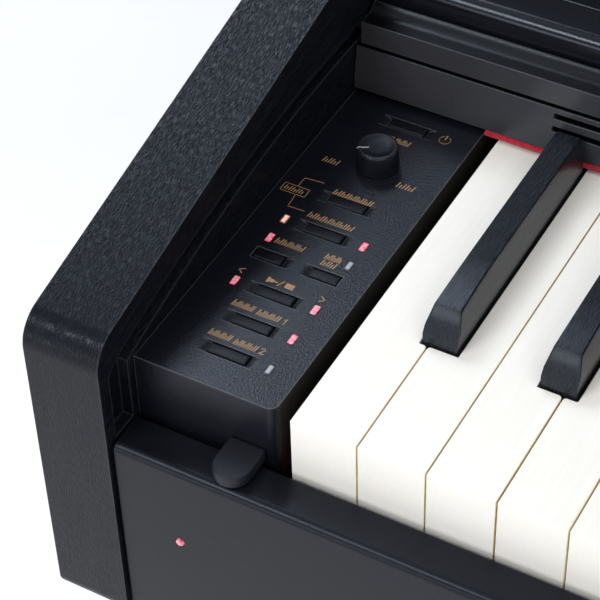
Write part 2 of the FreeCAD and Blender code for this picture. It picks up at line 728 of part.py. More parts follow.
def speaker_cone(x):
    top = BED_TOP_Z
    return turned([
        (0, top + 19.5), (14, top + 17.5), (42, top + 1), (42, top + 2.5), (14, top + 21), (0, top + 21),
    ], (x, SPEAKER_Y))


def headphone_box():
    """Box under the key bed with two jack sockets in its front."""
    shell = prism_z([
        (JACK_BOX_X[0], JACK_BOX_Y[0], 3), (JACK_BOX_X[1], JACK_BOX_Y[0], 3),
        (JACK_BOX_X[1], JACK_BOX_Y[1]), (JACK_BOX_X[0], JACK_BOX_Y[1]),
    ], (BED_BOTTOM_Z - JACK_BOX_HEIGHT, BED_BOTTOM_Z))
    jacks = [rod(Y_AXIS, (x, JACK_BOX_Y[0] - 5, JACK_Z), JACK_DEPTH + 5, JACK_RADIUS) for x in JACK_X]
    return cut(shell, jacks)


def main_circuit_board():
    """Board on the key bed with a few large components."""
    floor_z = BED_TOP_Z + 4
    board = box((520, 700), (265, 365), (floor_z, floor_z + 1.6))
    chips = [
        box((560, 590), (300, 330), (floor_z, floor_z + 4)),
        box((620, 660), (290, 310), (floor_z, floor_z + 22)),
        rod(Z_AXIS, (540, 345, floor_z), 24, 8),
        rod(Z_AXIS, (565, 345, floor_z), 24, 8),
    ]
    posts = [rod(Z_AXIS, (x, y, BED_TOP_Z), 4, 4) for x in (528, 692) for y in (273, 357)]
    return join([board] + chips + posts)


# ---- Music rest, in the row frame ----

def rest_pin():
    y = REST_PIN_Y - CASE_FRONT_Y - CASE_DEPTH / 2
    return y, KEY_TOP_HEIGHT + TOP_Z + REST_PIN_RISE


def music_rest():
    """Leaning plate with a book ledge, on two pins at its lower edge."""
    y, z = rest_pin()
    half = REST_THICK / 2
    plate = prism_y([
        (-REST_HALF_WIDTH, z - 4), (REST_HALF_WIDTH, z - 4), (REST_HALF_WIDTH, z + REST_HEIGHT, 25),
        (-REST_HALF_WIDTH, z + REST_HEIGHT, 25),
    ], (y - half, y + half))
    ledge = box((-REST_HALF_WIDTH, REST_HALF_WIDTH), (y - 26, y - half), (z - 4, z + 1))
    lip = box((-REST_HALF_WIDTH, REST_HALF_WIDTH), (y - 26, y - 22), (z - 4, z + 6))
    rest = join([plate, ledge, lip])
    recesses = [box(around(x, 34.6), (y - half - 3, y + half + 1), (z - 5, z + 9)) for x in HINGE_X]
    hubs = [rod(X_AXIS, (x - 7, y, z), 14, half) for x in HINGE_X]
    webs = [box(around(x, 14), (y - half, y + half), (z, z + 12)) for x in HINGE_X]
    rest = join([cut(rest, recesses)] + hubs + webs)
    holes = [rod(X_AXIS, (x - 20, y, z), 40, REST_PIN_RADIUS + RUNNING_CLEARANCE) for x in HINGE_X]
    rest = cut(rest, holes)
    rest.rotate(V(0, y, z), X_AXIS, -REST_LEAN)
    return rest


def music_rest_hinges():
    """Two brackets on the top board, each with a pin between its ears."""
    y, z = rest_pin()
    floor_z = KEY_TOP_HEIGHT + TOP_Z
    brackets = []
    for x in HINGE_X:
        ears = [box(around(x + side * 11.0, 6), (y - 4.0, y + 4.0), (floor_z, z + 4)) for side in (-1, 1)]
        base = box(around(x, 28), (y - 4.0, y + 16), (floor_z, floor_z + 2))
        pin = rod(X_AXIS, (x - 12, y, z), 24, REST_PIN_RADIUS)
        brackets.append(join([base, pin] + ears))
    return brackets


# ---- Stand, in the row frame ----

def screw_places():
    """(y, z) of the screws through each side board, in the beam's and the back panel's middles."""
    beam_y = sum(BEAM_Y) / 2
    back_y = sum(STAND_BACK_Y) / 2
    return [(beam_y, 86.0), (beam_y, 136.0), (back_y, 270.0), (back_y, 410.0), (back_y, 550.0)]


def screw(y, z, side):
    """Screw through a side board: side is -1 on the left and 1 on the right."""
    direction = V(-side, 0, 0)
    head = rod(direction, (side * (SIDE_OUTER + 2), y, z), 2, SCREW_HEAD_RADIUS)
    shank = rod(direction, (side * (SIDE_OUTER + 2), y, z), SCREW_LENGTH, SCREW_RADIUS)
    return join([head, shank])


def screw_holes():
    return [screw(y, z, side) for side in (-1, 1) for y, z in screw_places()]


def side_board(side):
    low, high = sorted((side * SIDE_INNER, side * SIDE_OUTER))
    bottom = KEY_TOP_HEIGHT + BED_BOTTOM_Z
    board = prism_x([
        (SIDE_Y[0], FOOT_HEIGHT), (SIDE_Y[1], FOOT_HEIGHT), (SIDE_Y[1], bottom),
        (SIDE_Y[0] - 30, bottom, 20),
    ], (low, high))
    return cut(board, screw_holes())


def base_foot(side):
    """Low runner under a side board, tapered to the front."""
    middle = side * (SIDE_INNER + SIDE_OUTER) / 2
    runner = prism_x([
        (FOOT_Y[0], GLIDE_HEIGHT, 6), (FOOT_Y[1], GLIDE_HEIGHT, 4), (FOOT_Y[1], FOOT_HEIGHT, 4),
        (-80, FOOT_HEIGHT, 60), (FOOT_Y[0], 34, 12),
    ], around(0, 2 * FOOT_HALF_WIDTH))
    runner.translate(V(middle - side * 5.0, 0, 0))
    return runner


def floor_glides():
    middle = (SIDE_INNER + SIDE_OUTER) / 2 - 5.0
    return [
        rod(Z_AXIS, (side * middle, y, 0), GLIDE_HEIGHT, GLIDE_RADIUS)
        for side in (-1, 1) for y in (FOOT_Y[0] + 24, FOOT_Y[1] - 24)
    ]


def stand_back_panel():
    panel = box((-SIDE_INNER, SIDE_INNER), STAND_BACK_Y, STAND_BACK_Z)
    return cut(panel, screw_holes())


def pedal_beam():
    beam = box((-SIDE_INNER, SIDE_INNER), BEAM_Y, BEAM_Z)
    socket = rod(Z_AXIS, (0, sum(BEAM_Y) / 2, BEAM_Z[0] - 5), 50, ADJUSTER_RADIUS + RUNNING_CLEARANCE)
    return cut(beam, screw_holes() + [socket])


def beam_adjuster():
    """Screw foot that keeps the pedal beam from sagging, just clear of the floor."""
    y = sum(BEAM_Y) / 2
    pad = rod(Z_AXIS, (0, y, 0.6), 7, 15)
    return join([pad, rod(Z_AXIS, (0, y, 3), 87, ADJUSTER_RADIUS)])


def pedal_cover():
    """Hollow box in front of the beam, open at the back, with a slot for each pedal."""
    outer = prism_x([
        (COVER_Y[0], COVER_Z[0], 3), (COVER_Y[1], COVER_Z[0]), (COVER_Y[1], COVER_Z[1]),
        (COVER_Y[0], 112, 12),
    ], COVER_X)
    inner = box(
        (COVER_X[0] + COVER_WALL, COVER_X[1] - COVER_WALL), (COVER_Y[0] + COVER_WALL, COVER_Y[1] + 5),
        (COVER_Z[0] + COVER_WALL, 105))
    slot_y = (COVER_Y[0] - 5, COVER_Y[0] + 10)
    slots = [box(around(step * PEDAL_PITCH, 26), slot_y, (54, 78)) for step in (-1, 0, 1)]
    return cut(outer, [inner] + slots)


def pedal_rod():
    length = COVER_X[1] - COVER_X[0] - 2 * COVER_WALL - 1
    return rod(X_AXIS, (-length / 2, PEDAL_PIVOT_Y, PEDAL_PIVOT_Z), length, PEDAL_ROD_RADIUS)


def pedal(step):
    """Lever on the rod: hub, straight arm, and a wide rounded blade in front."""
    x = step * PEDAL_PITCH
    z = PEDAL_PIVOT_Z
    blade = prism_z([
        (x - 9, 10), (x - 13, -25, 30), (x - 14, PEDAL_TIP_Y, 13.5), (x + 14, PEDAL_TIP_Y, 13.5),
        (x + 13, -25, 30), (x + 9, 10),
    ], (z + 1, z + 6))
    arm = box(around(x, 16), (5, PEDAL_PIVOT_Y), (z - 3, z + 6))
    hub = rod(X_AXIS, (x - 12, PEDAL_PIVOT_Y, z), 24, PEDAL_HUB_RADIUS)
    hole = rod(X_AXIS, (x - 20, PEDAL_PIVOT_Y, z), 40, PEDAL_ROD_RADIUS + RUNNING_CLEARANCE)
    return cut(join([blade, arm, hub]), [hole])


def save_case():
    arm = arm_board()
    save("left_arm_board", [keyboard(arm)])
    save("right_arm_board", [keyboard(opposite(arm))])
    save("key_slip", [keyboard(key_slip())])
    save("power_indicator", [keyboard(power_indicator())])
    save("key_bed", [keyboard(key_bed())])
    save("top_board", [keyboard(top_board())])
    save("upper_back_panel", [keyboard(upper_back_panel())])
    save("rear_jack_plate", [keyboard(rear_jack_plate())])
    save("top_front_rail", [keyboard(top_front_rail())])
    save("console_panel", [keyboard(console_panel())])
    save("key_felt", [keyboard(key_felt())])
    tab = lid_rest_tab()
    save("lid_rest_tabs", [keyboard(tab), keyboard(opposite(tab))])
    save("key_chassis", [keyboard(strip) for strip in key_chassis()])
    fulcrum_rod = rod(X_AXIS, (-3, FULCRUM_Y, FULCRUM_Z), KEYS_WIDTH + 6, FULCRUM_RADIUS)
    save("key_fulcrum_rod", [keyboard(fulcrum_rod)])
    save("key_stop_felt", [keyboard(key_stop_felt())])
    save("key_contact_board", [keyboard(key_contact_board())])


def save_lid():
    save("lid_panel", [keyboard(lath) for lath in lid_panel()])
    save("lid_nose", [keyboard(lid_nose())])
    save("lid_rollers", [keyboard(pin) for pin in lid_rollers()])


def save_controls():
    save("left_end_block", [keyboard(control_block())])
    save("right_end_block", [keyboard(opposite(end_block()))])
    for name, (x, y, width, _) in BUTTONS.items():
        save(name, [keyboard(button(x, y, width))])
    save("volume_knob", [keyboard(volume_knob())])
    save("panel_circuit_board", [keyboard(panel_circuit_board())])
    save("panel_indicators", [keyboard(light) for light in panel_indicators()])


def save_electronics():
    save("speaker_frames", [keyboard(speaker_frame(x)) for x in SPEAKER_X])
    save("speaker_cones", [keyboard(speaker_cone(x)) for x in SPEAKER_X])
    save("headphone_box", [keyboard(headphone_box())])
    save("main_circuit_board", [keyboard(main_circuit_board())])


def save_music_rest():
    save("music_rest", [music_rest()])
    save("music_rest_hinges", music_rest_hinges())


def save_stand():
    save("left_side_board", [side_board(-1)])
    save("right_side_board", [side_board(1)])
    save("base_feet", [base_foot(-1), base_foot(1)])
    save("floor_glides", floor_glides())
    save("stand_back_panel", [stand_back_panel()])
    save("stand_screws", screw_holes())
    save("pedal_beam", [pedal_beam()])
    save("pedal_cover", [pedal_cover()])
    save("pedal_rod", [pedal_rod()])
    save("left_pedal", [pedal(-1)])
    save("middle_pedal", [pedal(0)])
    save("right_pedal", [pedal(1)])
    save("beam_adjuster", [beam_adjuster()])


os.makedirs("parts", exist_ok=True)
save_keys()
save_case()
save_lid()
save_controls()
save_electronics()
save_music_rest()
save_stand()
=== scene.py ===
import json
import math

import bmesh
import bpy
from mathutils import Matrix, Vector, noise


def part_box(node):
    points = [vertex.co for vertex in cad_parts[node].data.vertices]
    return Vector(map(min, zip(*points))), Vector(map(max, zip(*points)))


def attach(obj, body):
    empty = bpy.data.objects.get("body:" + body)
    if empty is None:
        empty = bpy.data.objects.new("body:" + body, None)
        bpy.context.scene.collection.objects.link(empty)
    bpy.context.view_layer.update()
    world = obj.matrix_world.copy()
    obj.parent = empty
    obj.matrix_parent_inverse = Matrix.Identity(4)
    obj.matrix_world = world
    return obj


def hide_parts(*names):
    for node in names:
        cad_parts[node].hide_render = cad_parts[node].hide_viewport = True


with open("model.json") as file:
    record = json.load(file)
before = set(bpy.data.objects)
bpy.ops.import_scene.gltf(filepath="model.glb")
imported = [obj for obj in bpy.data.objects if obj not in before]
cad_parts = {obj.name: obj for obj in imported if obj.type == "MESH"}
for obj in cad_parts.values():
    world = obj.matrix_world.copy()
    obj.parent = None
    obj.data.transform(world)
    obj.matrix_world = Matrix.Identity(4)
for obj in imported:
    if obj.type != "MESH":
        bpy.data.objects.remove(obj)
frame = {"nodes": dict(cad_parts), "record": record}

# Digital piano on its stand, in metres. The keyboard frame is in millimetres: x from the left side of
# the lowest white key, y back from the white key fronts, z up from the white key tops.

MM = 0.001
KEY_SIDE_GAP = 0.00025
NODES = frame["nodes"]
SLOTS = {part["node"]: part["material_slot"] for part in frame["record"]["subparts"]}
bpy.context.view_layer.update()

key_low, key_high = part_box("white_key_a0")
KEYBOARD_ORIGIN = Vector((key_low.x - KEY_SIDE_GAP, key_low.y, key_high.z))
PANEL_Z = (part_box("left_end_block")[1].z - KEYBOARD_ORIGIN.z) / MM

# The lid's arc in the keyboard frame: centre (y, z), inner and outer radius, and the angles of its ends.
LID_AXIS = (137.6, -471.4)
LID_RADII = (494.5, 499.5)
LID_DEGREES = (4.02, 24.3)
LID_STEPS = 60

# Screws through the side boards as (y, z) in the row frame's millimetres, and the height of their heads.
SCREW_PLACES = ((114.0, 86.0), (114.0, 136.0), (190.5, 270.0), (190.5, 410.0), (190.5, 550.0))
SCREW_HEAD = 2.0

ARM_SLOPE = 0.229

# Camera: place in the keyboard frame; turn to the left, tilt down and roll; focal length.
CAMERA_PLACE = (230.12, -383.46, 491.85)
CAMERA_DEGREES = (30.373, 44.526, -1.961)
CAMERA_LENS = 129.13
SENSOR_WIDTH = 36


def on_keyboard(x, y, z=0.0):
    """Point in the row frame from millimetres in the keyboard frame."""
    return KEYBOARD_ORIGIN + Vector((x, y, z)) * MM


# ---- Stage ----

FLOOR_SIZE = 14
FLOOR_GAP = 0.0005
FLOOR_GLOW = 0.18
WORLD_GLOW = 0.29
LIT_PLACE = (0, 50)
WHITE = (1, 1, 1)
COOL = (0.86, 0.92, 1)
WARM = (1, 0.97, 0.93)
WARMER = (1, 0.96, 0.91)


def make_camera():
    """Camera over the left end of the keyboard, looking down and to the left."""
    azimuth, elevation, roll = (math.radians(angle) for angle in CAMERA_DEGREES)
    forward = Vector((
        -math.sin(azimuth) * math.cos(elevation),
        math.cos(azimuth) * math.cos(elevation),
        -math.sin(elevation),
    ))
    level = Vector((math.cos(azimuth), math.sin(azimuth), 0))
    right = level * math.cos(roll) + level.cross(forward) * math.sin(roll)
    up = right.cross(forward)
    data = bpy.data.cameras.new("camera")
    data.sensor_width = SENSOR_WIDTH
    data.lens = CAMERA_LENS
    data.clip_start = 0.05
    data.clip_end = 50
    camera = bpy.data.objects.new("camera", data)
    turn = Matrix((right, up, -forward)).transposed().to_4x4()
    camera.matrix_world = Matrix.Translation(on_keyboard(*CAMERA_PLACE)) @ turn
    bpy.context.scene.collection.objects.link(camera)
    bpy.context.scene.camera = camera


def softbox(name, azimuth, elevation, distance, size, radiance, colour):
    """Rectangular light that faces the low keys. Azimuth 0 is behind the piano and 90 is on its left."""
    data = bpy.data.lights.new(name, "AREA")
    data.shape = "RECTANGLE"
    data.size, data.size_y = size
    data.energy = radiance * math.pi * size[0] * size[1]
    data.color = colour
    light = bpy.data.objects.new(name, data)
    turn, rise = math.radians(azimuth), math.radians(elevation)
    away = Vector((-math.sin(turn) * math.cos(rise), math.cos(turn) * math.cos(rise), math.sin(rise)))
    light.location = on_keyboard(*LIT_PLACE) + away * distance
    light.rotation_mode = "QUATERNION"
    light.rotation_quaternion = away.to_track_quat("Z", "Y")
    bpy.context.scene.collection.objects.link(light)


def make_stage():
    """Pale floor that glows a little, dim world light, and softboxes."""
    bpy.ops.mesh.primitive_plane_add(size=FLOOR_SIZE, location=(0, 0, -FLOOR_GAP))
    floor = bpy.context.object
    floor.name = "floor"
    look = Look("floor_paint", (0.93, 0.93, 0.93), 0.6, Emission_Strength=FLOOR_GLOW)
    look.set("Emission Color", (1, 1, 1, 1))
    shade = look.noise(look.place, 3, detail=2)
    patches = look.range(shade, 0.3, 0.7)
    look.set("Base Color", look.mix(patches, (0.91, 0.91, 0.91), (0.95, 0.95, 0.95)))
    floor.data.materials.append(look.material)
    world = bpy.data.worlds.new("world")
    world.use_nodes = True
    background = world.node_tree.nodes["Background"]
    background.inputs["Color"].default_value = (0.85, 0.9, 1.0, 1)
    background.inputs["Strength"].default_value = WORLD_GLOW
    bpy.context.scene.world = world
    softbox("back_left_box", 54, 49, distance=2.6, size=(1.4, 0.8), radiance=7.6, colour=COOL)
    softbox("edge_box", 152, 44, distance=2.8, size=(1.2, 0.7), radiance=13, colour=WHITE)
    softbox("key_front_box", 160, 3, distance=2.8, size=(1.8, 0.8), radiance=4.0, colour=WHITE)
    softbox("overhead_box", 180, 86, distance=2.9, size=(2.5, 1.6), radiance=0.8, colour=WARM)
    softbox("top_right_box", 262, 62, distance=2.9, size=(2.4, 1.8), radiance=1.5, colour=WARMER)
    softbox("front_right_box", 215, 18, distance=2.8, size=(1.8, 1.2), radiance=2.6, colour=WARM)
    bpy.context.scene.view_settings.view_transform = "Standard"


# ---- Materials ----

COOL_GLOSS = (0.78, 0.87, 1.0, 1)
BLACK_GLOSS = {"Specular_IOR_Level": 0.33, "Specular_Tint": COOL_GLOSS}
FILM_GLOSS = {"Specular_IOR_Level": 0.2, "Specular_Tint": COOL_GLOSS}
SMOOTH_BLACK = (0.003, 0.0035, 0.006)
GRAINED_BLACK = (0.004, 0.0045, 0.0075)
# Lighter colour for edges: partly rubbed wear, partly a painted highlight.
WEAR_AND_PAINTED_HIGHLIGHT_BLACK = (0.05, 0.052, 0.06)
FILM_EDGE = 0.0009
SATIN_EDGE = 0.0007


class Look:
    """A Principled material, with short calls for the nodes that feed it."""

    def __init__(self, name, colour, roughness, **sockets):
        self.material = bpy.data.materials.new(name)
        self.material.use_nodes = True
        self.tree = self.material.node_tree
        self.shader = self.tree.nodes["Principled BSDF"]
        self.set("Base Color", (*colour, 1))
        self.set("Roughness", roughness)
        for socket, value in sockets.items():
            self.set(socket.replace("_", " "), value)
        self.place = self.add("ShaderNodeTexCoord").outputs["Object"]

    def add(self, kind, **settings):
        node = self.tree.nodes.new(kind)
        for name, value in settings.items():
            setattr(node, name, value)
        return node

    def put(self, socket, value):
        """Feeds a socket from another node's output or with a constant."""
        if isinstance(value, bpy.types.NodeSocket):
            self.tree.links.new(value, socket)
        elif socket.type == "RGBA" and len(value) == 3:
            socket.default_value = (*value, 1)
        else:
            socket.default_value = value

    def set(self, socket, value):
        self.put(self.shader.inputs[socket], value)

    def math(self, operation, first, second=0.0):
        node = self.add("ShaderNodeMath", operation=operation)
        self.put(node.inputs[0], first)
        self.put(node.inputs[1], second)
        return node.outputs[0]

    def scaled(self, values, scales):
        """A vector whose three parts are multiplied one by one."""
        return self.vector(*(self.math("MULTIPLY", value, scale) for value, scale in zip(values, scales)))

    def split(self, vector):
        node = self.add("ShaderNodeSeparateXYZ")
        self.put(node.inputs[0], vector)
        return node.outputs[0], node.outputs[1], node.outputs[2]

    def vector(self, x, y, z):
        node = self.add("ShaderNodeCombineXYZ")
        for socket, value in zip(node.inputs, (x, y, z)):
            self.put(socket, value)
        return node.outputs[0]

    def stretched(self, x, y, z):
        """The object's own coordinates, scaled by axis."""
        node = self.add("ShaderNodeMapping")
        self.put(node.inputs["Vector"], self.place)
        node.inputs["Scale"].default_value = (x, y, z)
        return node.outputs[0]

    def noise(self, vector, scale, detail=2.0, roughness=0.5):
        node = self.add("ShaderNodeTexNoise")
        self.put(node.inputs["Vector"], vector)
        node.inputs["Scale"].default_value = scale
        node.inputs["Detail"].default_value = detail
        node.inputs["Roughness"].default_value = roughness
        return node.outputs["Fac"]

    def range(self, value, low, high, to_low=0.0, to_high=1.0):
        node = self.add("ShaderNodeMapRange", interpolation_type="SMOOTHSTEP")
        for socket, number in zip(node.inputs, (value, low, high, to_low, to_high)):
            self.put(socket, number)
        return node.outputs[0]

    def mix(self, factor, first, second):
        node = self.add("ShaderNodeMix", data_type="RGBA")
        self.put(node.inputs["Factor"], factor)
        self.put(node.inputs[6], first)
        self.put(node.inputs[7], second)
        return node.outputs[2]

    def bump(self, height, distance):
        node = self.add("ShaderNodeBump")
        node.inputs["Strength"].default_value = 1.0
        node.inputs["Distance"].default_value = distance
        self.put(node.inputs["Height"], height)
        self.set("Normal", node.outputs[0])

    def side(self):
        """The surface's own direction at rest, as three numbers."""
        return self.split(self.add("ShaderNodeTexCoord").outputs["Normal"])

    def edges(self, radius):
        """1 on sharp edges and 0 on flat ground, from the bent normal near an edge."""
        bent = self.add("ShaderNodeBevel", samples=4)
        bent.inputs["Radius"].default_value = radius
        flat = self.add("ShaderNodeNewGeometry").outputs["Normal"]
        dot = self.add("ShaderNodeVectorMath", operation="DOT_PRODUCT")
        self.put(dot.inputs[0], bent.outputs[0])
        self.put(dot.inputs[1], flat)
        return self.range(dot.outputs["Value"], 0.995, 0.93)


def straight_grain(name, axis):
    """Wood-grain film whose pores run along the x, y or z axis of a board."""
    look = Look(name, (0.013, 0.014, 0.018), 0.42, **BLACK_GLOSS)
    return finish_grain(look, *look.split(look.place), axis)


def finish_grain(look, x, y, z, axis):
    """Black film embossed with wood pores: short grooves along one axis, slow shade bands, and lighter edges,
    partly rubbed wear and partly a painted highlight.
    """
    fine_scale = [2700, 2700, 2700]
    broad_scale = [420, 420, 420]
    fine_scale[axis] = 260
    broad_scale[axis] = 26
    fine = look.scaled((x, y, z), fine_scale)
    broad = look.scaled((x, y, z), broad_scale)
    pores = look.range(look.noise(fine, 1.0, detail=2.5, roughness=0.6), 0.47, 0.62)
    bands = look.range(look.noise(broad, 1.0, detail=2), 0.3, 0.7)
    film = look.noise(look.place, 2600, detail=1)
    # Edges get a lighter colour: partly rubbed wear, partly a painted highlight.
    wear_and_painted_highlight = look.math("MULTIPLY", look.edges(FILM_EDGE), 0.5)
    grained = look.mix(look.math("MULTIPLY", pores, bands), (0.0035, 0.004, 0.0065), (0.011, 0.012, 0.019))
    look.set("Base Color", look.mix(wear_and_painted_highlight, grained, (0.08, 0.083, 0.095)))
    look.set("Roughness", look.range(look.math("ADD", pores, bands), 0.2, 1.8, 0.29, 0.44))
    height = look.math("ADD", look.math("MULTIPLY", pores, -1.0), look.math("MULTIPLY", film, 0.25))
    look.bump(height, 0.00012)
    return look.material


def arm_grain():
    """Grain that follows the film over the arm: along the slope on top and inside, down on the front."""
    look = Look("arm_grain", (0.013, 0.014, 0.018), 0.42, **FILM_GLOSS)
    x, y, z = look.split(look.place)
    across, _, _ = look.side()
    on_side = look.math("GREATER_THAN", look.math("ABSOLUTE", across), 0.7)
    below_slope = look.math("SUBTRACT", z, look.math("MULTIPLY", y, ARM_SLOPE))
    return finish_grain(look, x, look.math("ADD", y, z), look.math("MULTIPLY", below_slope, on_side), 1)


def satin_look(name, colour, roughness, grain_scale, grain_depth, wear_and_painted_highlight_colour,
               wear_and_painted_highlight=0.4, gloss=BLACK_GLOSS):
    """Moulded or lacquered surface: fine grain, slow changes of sheen, and lighter edges, partly rubbed wear
    and partly a painted highlight.
    """
    look = Look(name, colour, roughness, **gloss)
    fine = look.noise(look.place, grain_scale, detail=2)
    slow = look.noise(look.place, 9, detail=3)
    lighter = [value * 1.45 + 0.002 for value in colour]
    shaded = look.mix(look.range(look.math("ADD", fine, slow), 0.7, 1.3), colour, lighter)
    # Edges get a lighter colour: partly rubbed wear, partly a painted highlight.
    edge_wear_and_painted_highlight = look.math("MULTIPLY", look.edges(SATIN_EDGE), wear_and_painted_highlight)
    look.set("Base Color", look.mix(edge_wear_and_painted_highlight, shaded, wear_and_painted_highlight_colour))
    look.set("Roughness", look.range(slow, 0.3, 0.7, roughness - 0.05, roughness + 0.06))
    look.bump(fine, grain_depth)
    return look.material


def console_look():
    """Satin film with painted light: a painted reflection makes the upright faces greyer, and painted shade
    makes faces that point up, as in the hollow, near black.
    """
    look = Look("console_painted_light_film", (0.02, 0.0205, 0.025), 0.26, **BLACK_GLOSS)
    fine = look.noise(look.place, 2400, detail=2)
    slow = look.noise(look.place, 9, detail=3)
    _, _, up = look.side()
    patches = look.range(look.math("ADD", fine, slow), 0.7, 1.3)
    # Painted reflection: upright faces get a greyer colour.
    grey_with_painted_reflection = look.mix(patches, (0.03, 0.0305, 0.036), (0.042, 0.0425, 0.049))
    # Painted shade: faces that point up turn near black.
    shaded = look.mix(look.range(up, 0.15, 0.5), grey_with_painted_reflection, (0.002, 0.002, 0.003))
    # Edges get a lighter colour: partly rubbed wear, partly a painted highlight.
    edge_wear_and_painted_highlight = look.math("MULTIPLY", look.edges(SATIN_EDGE), 0.5)
    look.set("Base Color", look.mix(edge_wear_and_painted_highlight, shaded, (0.1, 0.102, 0.11)))
    look.set("Roughness", look.range(slow, 0.3, 0.7, 0.22, 0.3))
    look.bump(fine, 0.00003)
    return look.material


def white_key_look():
    """Ivory-like matt cover with faint grain along the key, and honey-coloured streaks on the faces that
    point left or right.
    """
    look = Look("white_key_cover", (0.86, 0.845, 0.79), 0.34, Specular_IOR_Level=0.45)
    across, _, _ = look.side()
    # Faces that point left or right get a honey colour with streaks.
    sideways_faces = look.math("GREATER_THAN", look.math("ABSOLUTE", across), 0.75)
    streaks = look.noise(look.stretched(900, 45, 900), 1.0, detail=3)
    slow = look.noise(look.place, 14, detail=2)
    clouds = look.range(look.math("ADD", streaks, slow), 0.7, 1.3)
    cover = look.mix(clouds, (0.87, 0.855, 0.8), (0.9, 0.888, 0.845))
    sideways_tint = look.mix(look.range(streaks, 0.35, 0.65), (0.8, 0.66, 0.38), (0.9, 0.79, 0.52))
    look.set("Base Color", look.mix(sideways_faces, cover, sideways_tint))
    look.set("Roughness", look.range(streaks, 0.35, 0.65, 0.3, 0.4))
    look.bump(streaks, 0.00002)
    return look.material


def black_key_look():
    """Ebony-like satin finish with fine grain along the key."""
    look = Look("black_key_cover", (0.008, 0.009, 0.012), 0.3, **BLACK_GLOSS)
    streaks = look.noise(look.stretched(2600, 260, 700), 1.0, detail=3, roughness=0.6)
    fine = look.noise(look.place, 2600, detail=2)
    grain = look.range(streaks, 0.4, 0.62)
    look.set("Base Color", look.mix(grain, (0.005, 0.006, 0.009), (0.014, 0.016, 0.022)))
    look.set("Roughness", look.range(fine, 0.3, 0.7, 0.15, 0.26))
    look.bump(look.math("ADD", streaks, look.math("MULTIPLY", fine, 0.5)), 0.00006)
    return look.material


def felt_look():
    """Red woven felt: fuzzy, with painted shade that darkens it where the fuzz is low, and a soft sheen."""
    look = Look("red_felt_cloth", (0.5, 0.01, 0.03), 0.95, Sheen_Weight=0.25, Sheen_Roughness=0.5)
    fuzz = look.noise(look.place, 2200, detail=4, roughness=0.7)
    tufts = look.noise(look.place, 420, detail=3)
    # Painted shade: the colour is darker where fuzz and tufts, which also make the bump, are low.
    depth = look.range(look.math("ADD", fuzz, tufts), 0.7, 1.3)
    look.set("Base Color", look.mix(depth, (0.3, 0.002, 0.012), (0.6, 0.012, 0.045)))
    look.bump(look.math("ADD", fuzz, tufts), 0.0004)
    return look.material


def metal_look(name, colour, roughness, brush_scale, brush_depth):
    """Metal with fine brushing and patchy polish."""
    look = Look(name, colour, roughness, Metallic=1.0)
    brushed = look.noise(look.stretched(*brush_scale), 1.0, detail=3)
    patches = look.noise(look.place, 60, detail=3)
    darker = [value * 0.82 for value in colour]
    look.set("Base Color", look.mix(look.range(patches, 0.35, 0.7), darker, colour))
    uneven = look.math("ADD", brushed, patches)
    look.set("Roughness", look.range(uneven, 0.6, 1.4, roughness - 0.06, roughness + 0.1))
    look.bump(brushed, brush_depth)
    return look.material


def light_look(name, colour, glow):
    """Window of a lamp: an even glow with a little haze, under a thin clear skin."""
    look = Look(name, colour, 0.3, Coat_Weight=0.4)
    haze = look.noise(look.place, 900, detail=2)
    paler = [value + 0.25 * (1 - value) for value in colour]
    tint = look.mix(look.range(haze, 0.35, 0.7), colour, paler)
    look.set("Base Color", tint)
    look.set("Emission Color", tint)
    look.set("Emission Strength", glow)
    look.bump(haze, 0.00003)
    return look.material


def circuit_look():
    """Green board with a faint pattern of tracks."""
    look = Look("circuit_board_green", (0.02, 0.12, 0.05), 0.35)
    cells = look.add("ShaderNodeTexVoronoi", feature="DISTANCE_TO_EDGE")
    look.put(cells.inputs["Vector"], look.place)
    cells.inputs["Scale"].default_value = 180
    tracks = look.range(cells.outputs["Distance"], 0.04, 0.09)
    look.set("Base Color", look.mix(tracks, (0.05, 0.22, 0.09), (0.015, 0.1, 0.045)))
    look.bump(tracks, 0.00005)
    return look.material


def paper_look():
    """Pressed paper with fibres."""
    look = Look("speaker_cone_paper", (0.03, 0.03, 0.03), 0.9)
    fibres = look.noise(look.place, 700, detail=4, roughness=0.7)
    strands = look.range(fibres, 0.35, 0.65)
    look.set("Base Color", look.mix(strands, (0.02, 0.02, 0.021), (0.06, 0.058, 0.055)))
    look.bump(fibres, 0.0004)
    return look.material


# ---- Shapes ----

def piece(name, work, body, materials, stands_for=None):
    """Makes an object from a bmesh, in the row frame. It rides on a body and may stand for a CAD node."""
    mesh = bpy.data.meshes.new(name)
    work.to_mesh(mesh)
    work.free()
    made = bpy.data.objects.new(name, mesh)
    bpy.context.scene.collection.objects.link(made)
    for material in materials:
        made.data.materials.append(material)
    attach(made, body)
    if stands_for:
        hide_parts(stands_for)
    return made


def smooth(made, angle=35):
    """Smooth shading that keeps edges sharper than the angle."""
    for face in made.data.polygons:
        face.use_smooth = True
    sharp = math.radians(angle)
    work = bmesh.new()
    work.from_mesh(made.data)
    for edge in work.edges:
        edge.smooth = len(edge.link_faces) == 2 and edge.calc_face_angle(0) < sharp
    work.to_mesh(made.data)
    work.free()


def surface_between(work, rings, material=0):
    """Faces between closed rings of vertices. A ring of one vertex closes the surface."""
    count = max(len(ring) for ring in rings)
    for lower, upper in zip(rings, rings[1:]):
        for step in range(count):
            following = (step + 1) % count
            corners = [lower[step % len(lower)], lower[following % len(lower)],
                       upper[following % len(upper)], upper[step % len(upper)]]
            work.faces.new(list(dict.fromkeys(corners))).material_index = material


def capped_surface(work, rings):
    """Faces between rings of vertices, and one face over each end."""
    surface_between(work, rings)
    work.faces.new(rings[0])
    work.faces.new(list(reversed(rings[-1])))
    return work


